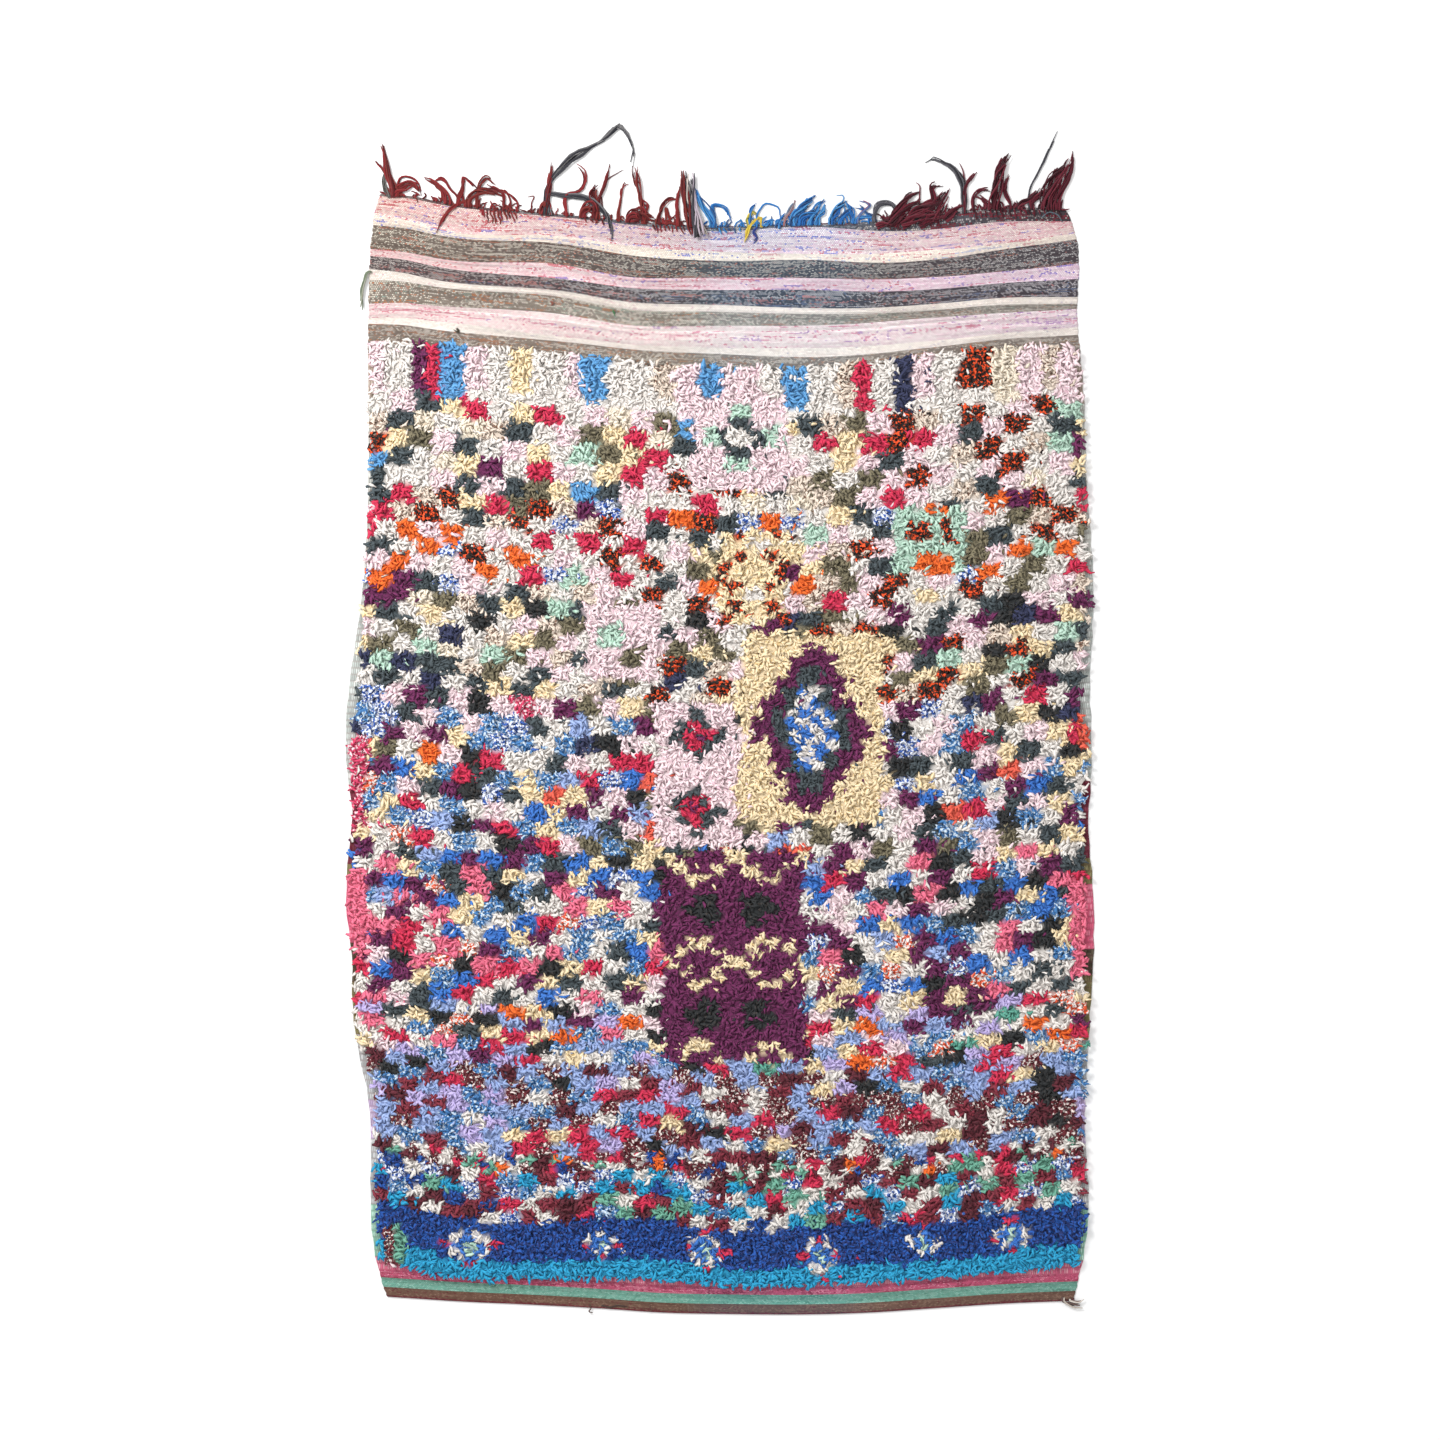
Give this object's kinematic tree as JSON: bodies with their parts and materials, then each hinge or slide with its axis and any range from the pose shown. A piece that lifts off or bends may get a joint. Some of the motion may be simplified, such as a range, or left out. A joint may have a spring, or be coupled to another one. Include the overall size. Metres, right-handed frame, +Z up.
{
  "type": "boucherouite rug",
  "caption": "Rag-pile rug lying flat: a shaggy pile of knotted cloth strips on a woven ground, with a wide striped flat-woven end, a narrow striped hem end and a loose warp fringe.",
  "frame": {"origin": "on the floor below the middle of the rug's box, fringe and locks included", "axes": "+Z up from the floor through the pile, +Y along the rug's length towards the fringed end"},
  "size_m": [1.6508, 2.6138, 0.0253],
  "materials": {
    "flat_weave": "weft-faced flat weave of wool and cotton, striped pink, cream, taupe and charcoal",
    "rag_pile": "cut cotton and jersey rags in mixed plain and printed colours",
    "rust_warp": "twisted wool yarn, rust red",
    "blue_warp": "twisted wool yarn, blue",
    "wine_warp": "twisted wool yarn, wine red",
    "loose_yarn": "loose ends of weft yarn"
  },
  "bodies": {
    "root": {"woven_ground": "flat_weave", "rag_pile": "rag_pile", "fringe_rust": "rust_warp", "fringe_blue": "blue_warp", "fringe_wine": "wine_warp", "selvedge_tail": "loose_yarn", "corner_tail_1": "loose_yarn", "corner_tail_2": "loose_yarn"}
  },
  "joints": []
}
